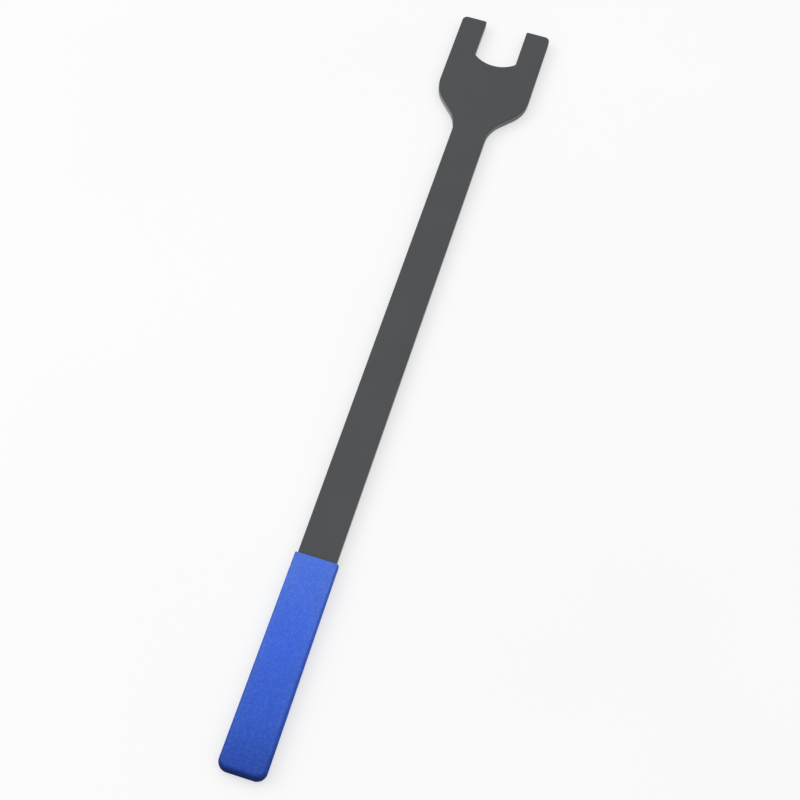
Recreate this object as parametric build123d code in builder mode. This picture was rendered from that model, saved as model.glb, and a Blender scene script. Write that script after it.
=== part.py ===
from build123d import *
import math
import os

# Fan clutch wrench: one flat laser-cut steel bar with an open fork head that slides over a
# 32 mm hexagon nut, and a closed-end vinyl sleeve pushed over the tail as a hand grip.
#
# Frame: origin on the axis of the seated nut, halfway through the plate. +X points out of the
# jaw, between the prong tips. +Y runs across the jaw. +Z is normal to the plate. The handle runs
# along -X and the wrench lies flat.

# ---------------------------------------------------------------- driving dimensions, mm
nut_across_flats = 32.0        # hexagon that the jaw is made for
jaw_gap = 32.5                 # between the two jaw flats: the nut plus 0.25 mm a side
overall_length = 609.6         # prong tips to the closed end of the sleeve, 24 in
tip_x = 22.0                   # prong tips, measured from the seated nut's axis

plate_t = 6.0                  # steel plate
edge_r = 0.5                   # softened edge all round both faces

head_width = 70.0              # across the two prongs
prong_outer_r = 3.9            # outer corner of each prong tip
prong_inner_r = 1.2            # inner corner of each prong tip

throat_arc_r = 23.7            # arc at the bottom of the jaw
throat_arc_x = tip_x - 17.1    # centre of that arc
throat_corner_r = 3.0          # where a jaw flat runs into the arc

shoulder_x = tip_x - 75.9      # corner of the sharp outline where the head starts to narrow
neck_x = tip_x - 99.8          # corner of the sharp outline where it meets the shank
shoulder_r = 26.4              # convex curve at the shoulder
neck_r = 26.0                  # concave curve at the neck
shank_width = 26.0

sleeve_mouth_x = tip_x - 464.9
sleeve_wall = 1.75             # over the two faces
sleeve_mouth_width = 29.5      # across the sleeve at its mouth
sleeve_end_width = 30.7        # and at its closed end: the slight draft of a moulded sleeve
sleeve_end_wall = 2.6          # closed end
sleeve_end_r = 6.7             # plan radius of the two end corners
sleeve_edge_r = 2.25           # long edges, wall plus the plate's own softened edge
sleeve_lip_r = 0.4             # softened lip round the mouth

# ---------------------------------------------------------------- derived
half_gap = jaw_gap / 2
half_head = head_width / 2
half_shank = shank_width / 2
sleeve_end_x = tip_x - overall_length
tail_x = sleeve_end_x + sleeve_end_wall
tail_r = sleeve_end_r - sleeve_edge_r
sleeve_t = plate_t + 2 * sleeve_wall
throat_corner_x = throat_arc_x - math.sqrt(throat_arc_r**2 - half_gap**2)
throat_floor_x = throat_arc_x - throat_arc_r

os.makedirs("parts", exist_ok=True)


def at(edges, x, y):
    """The upright edges that stand at (x, +y) and (x, -y)."""
    return [e for e in edges if abs(e.center().X - x) < 1e-3 and abs(abs(e.center().Y) - y) < 1e-3]


# ---------------------------------------------------------------- fork bar
# One piece, cut from plate: fork head, S-curved neck, parallel shank and the tail inside the sleeve.
with BuildPart() as fork_bar:
    with BuildSketch(Plane.XY):
        # Outline with sharp corners: the slanted neck line joins head and shank.
        with BuildLine():
            Polyline(
                (tip_x, half_head),
                (shoulder_x, half_head),
                (neck_x, half_shank),
                (tail_x, half_shank),
                (tail_x, -half_shank),
                (neck_x, -half_shank),
                (shoulder_x, -half_head),
                (tip_x, -half_head),
                close=True,
            )
        make_face()

        # The jaw: two parallel flats, closed by an arc.
        with BuildLine():
            Line((tip_x, -half_gap), (tip_x, half_gap))
            Line((tip_x, half_gap), (throat_corner_x, half_gap))
            ThreePointArc((throat_corner_x, half_gap), (throat_floor_x, 0), (throat_corner_x, -half_gap))
            Line((throat_corner_x, -half_gap), (tip_x, -half_gap))
        make_face(mode=Mode.SUBTRACT)
    extrude(amount=plate_t / 2, both=True)

    # Corners of the outline, rounded as upright edges of the plate.
    for corner_x, corner_y, corner_r in (
        (shoulder_x, half_head, shoulder_r),
        (neck_x, half_shank, neck_r),
        (tip_x, half_head, prong_outer_r),
        (tip_x, half_gap, prong_inner_r),
        (throat_corner_x, half_gap, throat_corner_r),
        (tail_x, half_shank, tail_r),
    ):
        fillet(at(fork_bar.edges().filter_by(Axis.Z), corner_x, corner_y), corner_r)

    # Both rims of the plate are softened all the way round.
    rims = fork_bar.edges().group_by(Axis.Z)
    fillet(rims[0] + rims[-1], edge_r)

fork_bar.part.label = "fork_bar"
export_step(fork_bar.part, "parts/fork_bar.step")

# ---------------------------------------------------------------- grip sleeve
# Slip-on vinyl sleeve, open at the mouth and closed at the end, with the tail of the bar filling
# its cavity. It is a little wider at the closed end than at the mouth.
with BuildPart() as grip_sleeve:
    with BuildSketch(Plane.XY):
        with BuildLine():
            Polyline(
                (sleeve_mouth_x, sleeve_mouth_width / 2),
                (sleeve_end_x, sleeve_end_width / 2),
                (sleeve_end_x, -sleeve_end_width / 2),
                (sleeve_mouth_x, -sleeve_mouth_width / 2),
                close=True,
            )
        make_face()
    extrude(amount=sleeve_t / 2, both=True)
    end_corners = grip_sleeve.edges().filter_by(Axis.Z).group_by(Axis.X)[0]
    fillet(end_corners, sleeve_end_r)

    # Long edges and the end's edges, on both faces; the two edges at the mouth stay for the lip.
    flats = grip_sleeve.edges().group_by(Axis.Z)
    soft = [e for e in flats[0] + flats[-1] if e.center().X < sleeve_mouth_x - 1e-3]
    fillet(soft, sleeve_edge_r)

    # Softened lip round the mouth.
    lip = grip_sleeve.faces().sort_by(Axis.X)[-1].edges()
    fillet(lip, sleeve_lip_r)

    # The cavity is the tail's own shape.
    add(fork_bar.part, mode=Mode.SUBTRACT)

grip_sleeve.part.label = "grip_sleeve"
export_step(grip_sleeve.part, "parts/grip_sleeve.step")
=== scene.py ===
import bpy
import math
import numpy as np
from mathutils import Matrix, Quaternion, Vector, noise


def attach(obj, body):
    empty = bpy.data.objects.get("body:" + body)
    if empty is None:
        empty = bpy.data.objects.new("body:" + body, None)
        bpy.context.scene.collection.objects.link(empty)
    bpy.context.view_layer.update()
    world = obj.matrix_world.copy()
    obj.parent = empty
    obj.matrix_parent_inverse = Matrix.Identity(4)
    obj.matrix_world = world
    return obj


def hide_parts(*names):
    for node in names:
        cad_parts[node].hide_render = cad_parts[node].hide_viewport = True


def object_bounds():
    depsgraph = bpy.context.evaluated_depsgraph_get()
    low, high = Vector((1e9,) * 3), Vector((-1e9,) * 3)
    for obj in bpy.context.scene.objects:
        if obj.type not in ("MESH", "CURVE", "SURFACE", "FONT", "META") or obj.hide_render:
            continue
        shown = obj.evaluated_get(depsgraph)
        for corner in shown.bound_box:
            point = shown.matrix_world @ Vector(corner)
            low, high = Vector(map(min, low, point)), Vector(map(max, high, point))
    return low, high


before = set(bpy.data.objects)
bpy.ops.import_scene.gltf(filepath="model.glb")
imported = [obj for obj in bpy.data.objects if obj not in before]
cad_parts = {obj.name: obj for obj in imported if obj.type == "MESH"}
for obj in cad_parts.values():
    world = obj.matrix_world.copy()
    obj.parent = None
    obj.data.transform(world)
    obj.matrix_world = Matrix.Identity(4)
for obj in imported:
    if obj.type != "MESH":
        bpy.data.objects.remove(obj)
cad_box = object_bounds()
scene = bpy.context.scene
MM = 0.001


# ------------------------------------------------------------------ camera
# Solved from the outline in the photograph: the wrench lies flat and is seen from above its grip
# end, about 63 degrees above the horizon, rolled so that the handle runs up the picture.
cam_data = bpy.data.cameras.new("camera")
cam_data.sensor_width = 36.0
cam_data.lens = 65.71
cam_data.clip_start, cam_data.clip_end = 0.01, 50.0
cam = bpy.data.objects.new("camera", cam_data)
cam.location = (-0.758885, -0.112909, 0.881360)
cam.rotation_mode = "QUATERNION"
cam.rotation_quaternion = Quaternion((0.78489061, 0.17591096, -0.15618569, -0.57324349))
scene.collection.objects.link(cam)
scene.camera = cam


# ------------------------------------------------------------------ node helpers
def material(name):
    """An empty node material: (material, node tree, principled shader)."""
    mat = bpy.data.materials.new(name)
    mat.use_nodes = True
    tree = mat.node_tree
    tree.nodes.clear()
    out = tree.nodes.new("ShaderNodeOutputMaterial")
    shader = tree.nodes.new("ShaderNodeBsdfPrincipled")
    tree.links.new(shader.outputs["BSDF"], out.inputs["Surface"])
    return mat, tree, shader


def node(tree, kind, **settings):
    n = tree.nodes.new(kind)
    for key, value in settings.items():
        if key in n.inputs:
            n.inputs[key].default_value = value
        else:
            setattr(n, key, value)
    return n


def noise_of(tree, vector, scale, detail=2.0, rough=0.5):
    """Noise of a given size: scale is in features per metre."""
    n = node(tree, "ShaderNodeTexNoise")
    n.inputs["Scale"].default_value = scale
    n.inputs["Detail"].default_value = detail
    n.inputs["Roughness"].default_value = rough
    tree.links.new(vector, n.inputs["Vector"])
    return n.outputs["Fac"]


def beads_of(tree, vector, scale):
    """Rounded beads that touch: 0 at a bead's middle, rising into the creases between them."""
    n = node(tree, "ShaderNodeTexVoronoi", feature="SMOOTH_F1")
    n.inputs["Scale"].default_value = scale
    n.inputs["Smoothness"].default_value = 0.30
    tree.links.new(vector, n.inputs["Vector"])
    return n.outputs["Distance"]


def remap(tree, value, low, high, to_low, to_high, smooth=False):
    n = node(tree, "ShaderNodeMapRange")
    n.clamp = True
    if smooth:
        n.interpolation_type = "SMOOTHSTEP"
    n.inputs["From Min"].default_value = low
    n.inputs["From Max"].default_value = high
    n.inputs["To Min"].default_value = to_low
    n.inputs["To Max"].default_value = to_high
    tree.links.new(value, n.inputs["Value"])
    return n.outputs["Result"]


def maths(tree, operation, a, b=None):
    n = node(tree, "ShaderNodeMath", operation=operation)
    for socket, value in zip(n.inputs, (a, b)):
        if value is None:
            continue
        if isinstance(value, (int, float)):
            socket.default_value = value
        else:
            tree.links.new(value, socket)
    return n.outputs["Value"]


def ramp(tree, value, stops):
    n = node(tree, "ShaderNodeValToRGB")
    elements = n.color_ramp.elements
    while len(elements) > len(stops):
        elements.remove(elements[-1])
    while len(elements) < len(stops):
        elements.new(1.0)
    for element, (place, colour) in zip(elements, stops):
        element.position = place
        element.color = (*colour, 1.0)
    tree.links.new(value, n.inputs["Fac"])
    return n.outputs["Color"]


def scaled(tree, colour, factor):
    """A colour times a number."""
    n = node(tree, "ShaderNodeVectorMath", operation="SCALE")
    tree.links.new(colour, n.inputs[0])
    if isinstance(factor, float):
        n.inputs["Scale"].default_value = factor
    else:
        tree.links.new(factor, n.inputs["Scale"])
    return n.outputs["Vector"]


def summed(tree, a, b):
    """Two colours added."""
    n = node(tree, "ShaderNodeVectorMath", operation="ADD")
    tree.links.new(a, n.inputs[0])
    tree.links.new(b, n.inputs[1])
    return n.outputs["Vector"]


def tinted(tree, a, b):
    """Two colours multiplied."""
    n = node(tree, "ShaderNodeVectorMath", operation="MULTIPLY")
    tree.links.new(a, n.inputs[0])
    tree.links.new(b, n.inputs[1])
    return n.outputs["Vector"]


def bump(tree, height, distance, strength=1.0, before=None):
    n = node(tree, "ShaderNodeBump")
    n.inputs["Strength"].default_value = strength
    n.inputs["Distance"].default_value = distance
    tree.links.new(height, n.inputs["Height"])
    if before is not None:
        tree.links.new(before, n.inputs["Normal"])
    return n.outputs["Normal"]


# ------------------------------------------------------------------ coated steel
def coated_steel():
    """Dark grey matte coating on plate: fine-textured, a little uneven in tone and gloss. It sits
    thinner and lighter on the cut walls, most of all at the jaw, along upright streaks. Painted
    shade darkens the rims and walls, and the light band on the walls of the S-curves behind the head
    is a painted highlight."""
    mat, tree, shader = material("coated_steel_finish")
    coords = node(tree, "ShaderNodeTexCoord")
    place = coords.outputs["Object"]
    px = node(tree, "ShaderNodeSeparateXYZ")
    tree.links.new(place, px.inputs["Vector"])
    facing = node(tree, "ShaderNodeSeparateXYZ")
    tree.links.new(coords.outputs["Normal"], facing.inputs["Vector"])

    broad = noise_of(tree, place, 28.0, 3.0, 0.55)
    grain = noise_of(tree, place, 1500.0, 2.0, 0.6)
    peel = noise_of(tree, place, 620.0, 2.0, 0.5)

    # tone of the coating: slow clouds and a very fine speckle
    tone = maths(
        tree,
        "ADD",
        maths(tree, "MULTIPLY", broad, 0.55),
        maths(tree, "MULTIPLY", grain, 0.45),
    )
    coating = ramp(
        tree,
        tone,
        [
            (0.30, (0.0370, 0.0408, 0.0445)),
            (0.52, (0.0405, 0.0446, 0.0487)),
            (0.74, (0.0445, 0.0490, 0.0533)),
        ],
    )

    # painted shade: deeper in tone where the surface turns over the rims and down the walls, by how
    # far its normal leans from upright
    upright = maths(tree, "ABSOLUTE", facing.outputs["Z"])
    painted_rim_shade = ramp(
        tree,
        upright,
        [
            (0.00, (0.76, 0.76, 0.76)),
            (0.40, (0.72, 0.72, 0.72)),
            (0.86, (0.74, 0.74, 0.74)),
            (0.99, (1.00, 1.00, 1.00)),
        ],
    )
    coating = scaled(tree, coating, painted_rim_shade)

    # cut walls, told by a level normal
    wall = remap(tree, upright, 0.12, 0.45, 1.0, 0.0, smooth=True)
    stretch = node(tree, "ShaderNodeMapping")
    stretch.inputs["Scale"].default_value = (1.0, 1.0, 0.07)
    tree.links.new(place, stretch.inputs["Vector"])
    streaks = noise_of(tree, stretch.outputs["Vector"], 1100.0, 2.0, 0.55)
    # lighter cut walls: the jaw's show light metal through a thinner coat; on the S-curves behind
    # the head the light band is a painted highlight on walls facing the handle end, brighter on the
    # +y side where light falls
    neck_highlight = maths(
        tree,
        "MULTIPLY",
        remap(tree, facing.outputs["X"], -0.58, -0.28, 1.0, 0.0, smooth=True),
        remap(tree, facing.outputs["Y"], -0.75, 0.75, 0.40, 1.0),
    )
    jaw = maths(
        tree,
        "MULTIPLY",
        remap(tree, maths(tree, "ABSOLUTE", px.outputs["Y"]), 0.0170, 0.0185, 1.0, 0.0),
        remap(tree, px.outputs["X"], -0.030, -0.026, 0.0, 1.0),
    )
    # the thinner coat on the jaw and on all cut walls, together with the painted highlight on the
    # S-curves
    shown = maths(tree, "MAXIMUM", maths(tree, "MAXIMUM", neck_highlight, jaw), 0.12)
    bare_and_highlight = maths(tree, "MULTIPLY", wall, shown)
    # painted shade on the cut walls, darkest towards the top face and darker again at the bottom,
    # leaving a painted highlight band just below the middle
    depth = maths(
        tree,
        "MULTIPLY",
        remap(tree, px.outputs["Z"], -0.0030, -0.0010, 0.45, 1.0, smooth=True),
        remap(tree, px.outputs["Z"], -0.0006, 0.0028, 0.95, 0.16, smooth=True),
    )
    cut = ramp(
        tree,
        maths(tree, "ADD", depth, maths(tree, "MULTIPLY", streaks, 0.28)),
        [
            (0.15, (0.052, 0.056, 0.060)),
            (0.50, (0.092, 0.096, 0.099)),
            (0.88, (0.205, 0.210, 0.212)),
        ],
    )
    blend = node(tree, "ShaderNodeMix", data_type="RGBA")
    tree.links.new(bare_and_highlight, blend.inputs["Factor"])
    tree.links.new(coating, blend.inputs[6])
    tree.links.new(cut, blend.inputs[7])
    tree.links.new(blend.outputs[2], shader.inputs["Base Color"])

    # gloss: matte, slightly glossier in patches
    tree.links.new(
        remap(tree, broad, 0.3, 0.7, 0.46, 0.40), shader.inputs["Roughness"]
    )

    # texture: fine grain and peel everywhere, and the streaks on the cut walls
    normal = bump(tree, peel, 0.000040, 1.0)
    normal = bump(tree, grain, 0.000024, 1.0, normal)
    normal = bump(tree, maths(tree, "MULTIPLY", streaks, wall), 0.000030, 1.0, normal)
    tree.links.new(normal, shader.inputs["Normal"])

    shader.inputs["Metallic"].default_value = 0.0
    shader.inputs["IOR"].default_value = 1.5
    shader.inputs["Specular IOR Level"].default_value = 0.4
    return mat


# ------------------------------------------------------------------ blue vinyl
def blue_vinyl():
    """Soft blue vinyl: satin, mottled, with a fine orange-peel skin. Its colour holds painted light
    and shade:
    brighter towards the mouth, deep navy over the closed end, paler where the long edges turn,
    darker down the sides."""
    mat, tree, shader = material("blue_vinyl_finish")
    coords = node(tree, "ShaderNodeTexCoord")
    place = coords.outputs["Object"]
    px = node(tree, "ShaderNodeSeparateXYZ")
    tree.links.new(place, px.inputs["Vector"])
    facing = node(tree, "ShaderNodeSeparateXYZ")
    tree.links.new(coords.outputs["Normal"], facing.inputs["Vector"])

    mottle = noise_of(tree, place, 580.0, 3.0, 0.6)
    cloud = noise_of(tree, place, 60.0, 2.0, 0.5)
    fine = noise_of(tree, place, 2600.0, 2.0, 0.6)
    pebble = remap(tree, beads_of(tree, place, 820.0), 0.12, 0.62, 0.0, 1.0, smooth=True)

    along = remap(tree, px.outputs["X"], -0.5876, -0.4416, 0.0, 1.0)
    # painted light and shade along its length: brighter blue towards the mouth, where more light
    # falls, deep navy towards the closed end
    colour = ramp(
        tree,
        along,
        [
            (0.00, (0.0145, 0.0500, 0.318)),
            (0.25, (0.0275, 0.0875, 0.480)),
            (0.60, (0.0398, 0.1102, 0.583)),
            (1.00, (0.0585, 0.1415, 0.594)),
        ],
    )
    # mottling and slower clouds, and a pale bloom on the tops of the grain, broken by the mottling
    uneven = maths(
        tree,
        "ADD",
        maths(tree, "MULTIPLY", mottle, 0.18),
        maths(tree, "MULTIPLY", cloud, 0.16),
    )
    uneven = maths(tree, "ADD", uneven, maths(tree, "MULTIPLY", pebble, -0.045))
    uneven = maths(tree, "ADD", uneven, 0.855)
    tops = maths(tree, "ADD", maths(tree, "MULTIPLY", mottle, -2.2), 1.385)
    tops = maths(tree, "ADD", tops, maths(tree, "MULTIPLY", pebble, 0.6))
    bloom = ramp(tree, tops, [(0.0, (0.0200, 0.0315, 0.0430)), (1.0, (0.0, 0.0, 0.0))])
    # the bloom fades towards the closed end with the painted shade
    bloom = scaled(tree, bloom, remap(tree, along, 0.0, 0.8, 0.62, 1.0))
    # painted sheen and shade: paler and greyer where the edges begin to turn, deeper down the sides
    upright = maths(tree, "ABSOLUTE", facing.outputs["Z"])
    painted_edge_sheen_and_shade = ramp(
        tree,
        upright,
        [
            (0.00, (0.52, 0.60, 0.68)),
            (0.45, (0.54, 0.63, 0.71)),
            (0.80, (0.74, 0.81, 0.85)),
            (0.93, (0.93, 0.94, 0.89)),
            (0.975, (1.00, 0.97, 0.89)),
            (0.997, (0.90, 0.90, 0.90)),
        ],
    )
    # a little greyer, with more red and green and less blue, over the outer thirds of its width
    outer_thirds_greyer = ramp(
        tree,
        remap(tree, maths(tree, "ABSOLUTE", px.outputs["Y"]), 0.0060, 0.0125, 0.0, 1.0),
        [(0.0, (1.0, 1.0, 1.0)), (1.0, (1.13, 1.035, 0.95))],
    )
    # painted shade: much deeper in colour on the surfaces facing out over the closed end, where
    # little light falls
    end = ramp(
        tree,
        maths(tree, "MULTIPLY", facing.outputs["X"], -1.0),
        [
            (0.05, (1.0, 1.0, 1.0)),
            (0.30, (0.68, 0.73, 0.76)),
            (0.65, (0.34, 0.45, 0.47)),
            (1.00, (0.20, 0.33, 0.32)),
        ],
    )
    colour = summed(tree, scaled(tree, colour, uneven), bloom)
    colour = tinted(tree, tinted(tree, colour, painted_edge_sheen_and_shade), outer_thirds_greyer)
    colour = scaled(tree, tinted(tree, colour, end), 1.15)
    tree.links.new(colour, shader.inputs["Base Color"])
    gloss = remap(tree, mottle, 0.3, 0.7, 0.54, 0.46)
    gloss = maths(tree, "ADD", gloss, remap(tree, upright, 0.2, 0.9, 0.28, 0.0, smooth=True))
    tree.links.new(gloss, shader.inputs["Roughness"])
    normal = bump(tree, mottle, 0.000050, 1.0)
    normal = bump(tree, pebble, -0.000060, 1.0, normal)
    normal = bump(tree, fine, 0.000010, 1.0, normal)
    tree.links.new(normal, shader.inputs["Normal"])
    shader.inputs["IOR"].default_value = 1.5
    shader.inputs["Specular IOR Level"].default_value = 0.08
    return mat


steel = coated_steel()
vinyl = blue_vinyl()

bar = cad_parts["fork_bar"]
for s in bar.material_slots:
    s.material = steel


# ------------------------------------------------------------------ grip sleeve
def sock(mouth, end, nu, nv, na, k, s):
    """The skin of a flat sock, open at one end and closed at the other, in millimetres.

    mouth and end are dicts: x, w (half width), t (half thickness), h and r (how far across and how
    far down the long edges are rounded); mouth also has crisp, the share of h that is missing right
    at the mouth, and end has rp (plan radius of its corners) and re (radius of its own edge). nu
    steps run along it, nv across the flat middle, na round each end corner, k round each long edge
    and s up each side. Returns (points, quads, ring): ring is the mouth's loop of points, in order.
    """
    span = mouth["x"] - end["x"]

    def along(x, key):
        value = end[key] + (mouth[key] - end[key]) * (x - end["x"]) / span
        if key == "h":
            value *= 1 - mouth["crisp"] * math.exp((x - mouth["x"]) / 5.0)
        return value

    xc = end["x"] + end["rp"]  # where the end corners start
    wc = along(xc, "w")
    ry = wc - end["rp"]
    # end boundary of the flat, from -y to +y: corner arc, straight, corner arc. The edge radius
    # grows round the corner, from the long edge's to the end's.
    boundary, outward, radius = [], [], []
    for m in range(na + 1):
        a = math.pi / 2 * (1 - m / na)
        f = math.cos(a) ** 2
        h = along(xc, "h") * (1 - f) + end["re"] * f
        r = along(xc, "r") * (1 - f) + end["re"] * f
        n = (-math.cos(a), -math.sin(a))
        boundary.append((xc + (end["rp"] - h) * n[0], -ry + (end["rp"] - h) * n[1]))
        outward.append(n)
        radius.append((h, r))
    for m in range(1, nv):
        boundary.append((end["x"] + end["re"], -ry + 2 * ry * m / nv))
        outward.append((-1.0, 0.0))
        radius.append((end["re"], end["re"]))
    for m in range(na, -1, -1):
        x, y = boundary[m]
        boundary.append((x, -y))
        outward.append((outward[m][0], -outward[m][1]))
        radius.append(radius[m])
    nc = len(boundary)
    bx = np.array([q[0] for q in boundary])
    by = np.array([q[1] for q in boundary])
    my = by / by[-1] * (mouth["w"] - along(mouth["x"], "h"))
    u = np.linspace(0, 1, nu + 1)[:, None]
    gx = mouth["x"] + (bx[None] - mouth["x"]) * u
    gy = my[None] + (by - my)[None] * u
    # the long edges stay on the tapered sides
    for i in range(nu):
        half = along(gx[i, -1], "w") - along(gx[i, -1], "h")
        gy[i] *= half / gy[i, -1]

    slope = (end["w"] - mouth["w"]) / span
    size = math.hypot(1, slope)
    path = []
    for i in range(nu):
        x = gx[i, -1]
        path.append((i, nc - 1, (slope / size, 1 / size), (along(x, "h"), along(x, "r"))))
    path += [(nu, j, outward[j], radius[j]) for j in range(nc - 1, -1, -1)]
    path += [(i, 0, (n[0], -n[1]), rounding) for i, _, n, rounding in path[:nu][::-1]]

    points, quads = [], []

    def add(p):
        points.append(p)
        return len(points) - 1

    flat = {}
    for side in (1, -1):
        flat[side] = [
            [add((gx[i, j], gy[i, j], side * along(gx[i, j], "t"))) for j in range(nc)]
            for i in range(nu + 1)
        ]
    for i in range(nu):
        for j in range(nc - 1):
            a, b = flat[1], flat[-1]
            quads.append((a[i][j], a[i][j + 1], a[i + 1][j + 1], a[i + 1][j]))
            quads.append((b[i][j], b[i + 1][j], b[i + 1][j + 1], b[i][j + 1]))

    # the rounded long edges and the sides, as strips along the U
    levels = [(math.pi / 2 * m / k, 0.0) for m in range(1, k + 1)]
    levels += [(math.pi / 2, m / s) for m in range(1, s)]
    levels += [(math.pi / 2 * m / k, 1.0) for m in range(k, 0, -1)]
    strips = [[flat[1][i][j] for i, j, _, _ in path]]
    for turn, down in levels:
        row = []
        for i, j, n, (h, r) in path:
            t = along(gx[i, j], "t")
            d = h * math.sin(turn)
            z = (t - r) * (1 - 2 * down) + r * math.cos(turn) * (1 if down == 0.0 else -1)
            if 0.0 < down < 1.0:
                z = (t - r) * (1 - 2 * down)
            row.append(add((gx[i, j] + d * n[0], gy[i, j] + d * n[1], z)))
        strips.append(row)
    strips.append([flat[-1][i][j] for i, j, _, _ in path])
    for a, b in zip(strips, strips[1:]):
        for m in range(len(path) - 1):
            quads.append((a[m], b[m], b[m + 1], a[m + 1]))

    ring = list(flat[1][0])  # top, from -y to +y
    ring += [strip[0] for strip in strips[1:-1]]  # down the +y side
    ring += list(flat[-1][0])[::-1]  # bottom, from +y to -y
    ring += [strip[-1] for strip in strips[1:-1]][::-1]  # up the -y side
    return points, quads, ring


def section_normals(ring_yz, t, w, h, r):
    """Outward normals, in y and z, round the section of a sock at its mouth."""
    out = []
    for y, z in ring_yz:
        ny = max(0.0, abs(y) - (w - h)) / h**2
        nz = max(0.0, abs(z) - (t - r)) / r**2
        if ny == 0 and nz == 0:
            nz = 1.0
        length = math.hypot(ny, nz)
        out.append((math.copysign(ny / length, y), math.copysign(nz / length, z)))
    return out


def sleeve():
    # The solid's own numbers, in millimetres, but the skin is a little thinner and sharper-edged at
    # the mouth, rounder towards the closed end, and its sides are full, not flat.
    mouth, end = -442.9, -587.6
    lip, inner_lip, gap = 0.4, 0.35, 0.04
    m_w, m_t, m_h, m_r = 14.88, 4.42, 1.5, 3.6
    crisp = 0.35
    nv, na, k, s = 44, 8, 12, 2
    outer_mouth = {"x": mouth - lip, "w": m_w, "t": m_t, "h": m_h, "r": m_r, "crisp": crisp}
    outer_end = {"x": end, "w": 15.52, "t": 4.75, "h": 3.3, "r": 4.0, "rp": 6.7, "re": 4.2}
    pts, quads, ring = sock(outer_mouth, outer_end, 330, nv, na, k, s)

    def strip(last, new):
        n = len(last)
        for a in range(n):
            b = (a + 1) % n
            quads.append((last[b], last[a], new[a], new[b]))

    # softened lip
    yz = [(pts[i][1], pts[i][2]) for i in ring]
    normals = section_normals(yz, m_t, m_w, m_h * (1 - crisp), m_r)
    last = ring
    for m in range(1, 5):
        q = math.pi / 2 * m / 4
        back, fore = lip * (1 - math.cos(q)), lip * math.sin(q)
        new = []
        for (y, z), (ny, nz) in zip(yz, normals):
            pts.append((mouth - lip + fore, y - back * ny, z - back * nz))
            new.append(len(pts) - 1)
        strip(last, new)
        last = new
    lip_end = len(pts)

    # the cavity, a hair clear of the bar, with a small rounding where it opens
    c_w, c_t, c_r = 13.0 + gap, 3.0 + gap, 0.5 + gap
    inner_mouth = {"x": mouth - inner_lip, "w": c_w, "t": c_t, "h": c_r, "r": c_r, "crisp": 0.0}
    inner_end = {"x": -585.0 - gap, "w": c_w, "t": c_t, "h": c_r, "r": c_r}
    inner_end |= {"rp": 4.45 + gap, "re": c_r}
    ip, iq, iring = sock(inner_mouth, inner_end, 24, nv, na, k, s)
    iyz = [(ip[i][1], ip[i][2]) for i in iring]
    inormals = section_normals(iyz, c_t, c_w, c_r, c_r)
    for m in (4, 3, 2, 1):
        q = math.pi / 2 * m / 4
        wide, deep = inner_lip * (1 - math.cos(q)), inner_lip * (1 - math.sin(q))
        new = []
        for (y, z), (ny, nz) in zip(iyz, inormals):
            pts.append((mouth - deep, y + wide * ny, z + wide * nz))
            new.append(len(pts) - 1)
        strip(last, new)
        last = new
    base = len(pts)
    pts.extend(ip)
    quads.extend(tuple(base + i for i in q[::-1]) for q in iq)
    strip(last, [base + i for i in iring])

    mesh = bpy.data.meshes.new("grip_sleeve_skin")
    mesh.from_pydata([tuple(c * MM for c in p) for p in pts], [], quads)
    mesh.validate()
    mesh.update()
    for p in mesh.polygons:
        p.use_smooth = True

    # The moulded skin: fine orange peel and a slight long unevenness, pressed inwards only.
    n = len(mesh.vertices)
    normals = np.zeros(n * 3)
    mesh.vertices.foreach_get("normal", normals)
    normals = normals.reshape(-1, 3)
    co = np.zeros(n * 3)
    mesh.vertices.foreach_get("co", co)
    co = co.reshape(-1, 3)
    depth = np.zeros(n)
    for i in range(lip_end):
        p = Vector(co[i]) / MM
        peel = noise.noise(p / 1.7) * 0.6 + noise.noise(p / 0.85 + Vector((7.3, 1.9, 4.1))) * 0.4
        swell = noise.noise(p / 16.0 + Vector((31.7, 5.2, 8.8)))
        depth[i] = 0.075 * (0.5 - 0.5 * max(-1.0, min(1.0, peel * 1.6)))
        depth[i] += 0.045 * (0.5 - 0.5 * max(-1.0, min(1.0, swell * 1.4)))
    co -= normals * depth[:, None] * MM
    mesh.vertices.foreach_set("co", co.reshape(-1))
    mesh.update()

    obj = bpy.data.objects.new("grip_sleeve_skin", mesh)
    scene.collection.objects.link(obj)
    mesh.materials.append(vinyl)
    return obj


skin = sleeve()
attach(skin, "root")
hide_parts("grip_sleeve")


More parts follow.
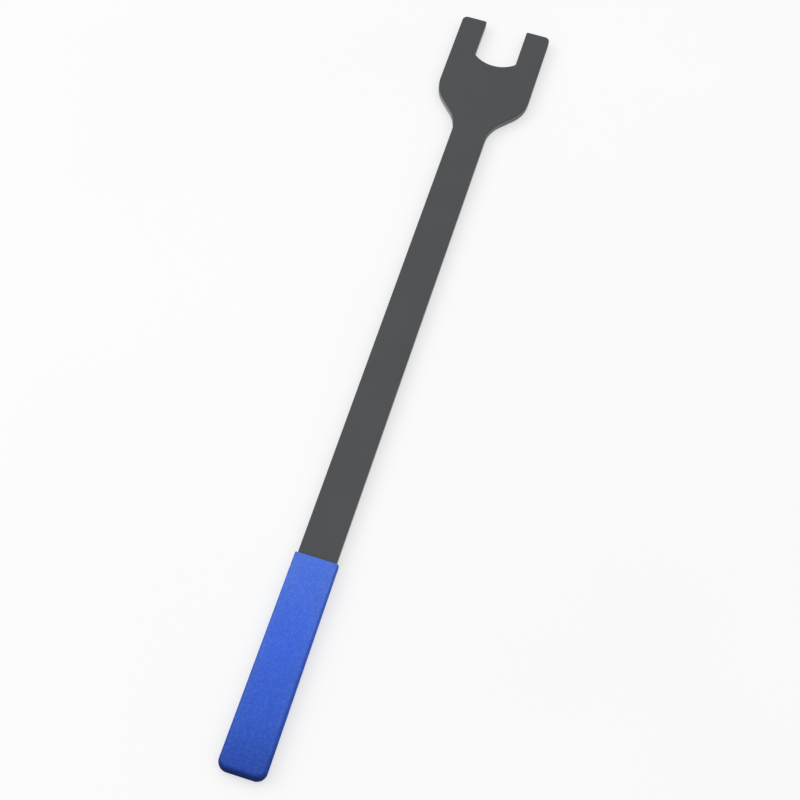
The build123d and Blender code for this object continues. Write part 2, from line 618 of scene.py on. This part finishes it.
# ------------------------------------------------------------------ floor and light
floor_z = cad_box[0].z
floor_mesh = bpy.data.meshes.new("floor")
half = 6.0
floor_mesh.from_pydata(
    [(-half, -half, floor_z), (half, -half, floor_z), (half, half, floor_z), (-half, half, floor_z)],
    [],
    [(0, 1, 2, 3)],
)
floor = bpy.data.objects.new("floor", floor_mesh)
scene.collection.objects.link(floor)
floor_mat, floor_tree, floor_shader = material("floor_finish")
floor_place = node(floor_tree, "ShaderNodeTexCoord").outputs["Object"]
floor_tone = noise_of(floor_tree, floor_place, 3.0, 2.0, 0.5)
floor_tree.links.new(
    ramp(floor_tree, floor_tone, [(0.3, (0.357, 0.357, 0.357)), (0.7, (0.370, 0.370, 0.370))]),
    floor_shader.inputs["Base Color"],
)
floor_shader.inputs["Roughness"].default_value = 0.9
floor_shader.inputs["Specular IOR Level"].default_value = 0.1
floor_shader.inputs["Emission Color"].default_value = (1.0, 1.0, 1.0, 1.0)
floor_shader.inputs["Emission Strength"].default_value = 0.55
floor_mesh.materials.append(floor_mat)

# a soft sky, bright overhead and dimmer towards the sides, with a pale band along the horizon
world = bpy.data.worlds.new("studio")
scene.world = world
world.use_nodes = True
wt = world.node_tree
wt.nodes.clear()
w_out = wt.nodes.new("ShaderNodeOutputWorld")
w_bg = wt.nodes.new("ShaderNodeBackground")
w_dir = wt.nodes.new("ShaderNodeTexCoord").outputs["Generated"]
w_split = wt.nodes.new("ShaderNodeSeparateXYZ")
wt.links.new(w_dir, w_split.inputs["Vector"])
sky = remap(wt, w_split.outputs["Z"], 0.0, 0.85, 0.06, 1.0, smooth=True)
haze = remap(wt, w_split.outputs["Z"], 0.0, 0.22, 0.75, 0.10, smooth=True)
sky = maths(wt, "MAXIMUM", sky, haze)
wt.links.new(maths(wt, "MULTIPLY", sky, 1.23), w_bg.inputs["Strength"])
w_bg.inputs["Color"].default_value = (1.0, 1.0, 1.0, 1.0)
wt.links.new(w_bg.outputs["Background"], w_out.inputs["Surface"])


def softbox(name, place, target, size, power):
    data = bpy.data.lights.new(name, "AREA")
    data.shape = "RECTANGLE"
    data.size, data.size_y = size
    data.energy = power
    light = bpy.data.objects.new(name, data)
    light.location = place
    light.rotation_mode = "QUATERNION"
    light.rotation_quaternion = (Vector(target) - Vector(place)).to_track_quat("-Z", "Y")
    scene.collection.objects.link(light)
    return light


softbox("key", (-0.15, 2.2, 1.74), (-0.28, 0.0, 0.0), (2.1, 1.5), 21.0)

scene.view_settings.view_transform = "Standard"
scene.view_settings.look = "None"
scene.view_settings.exposure = 0.0
scene.view_settings.gamma = 1.0
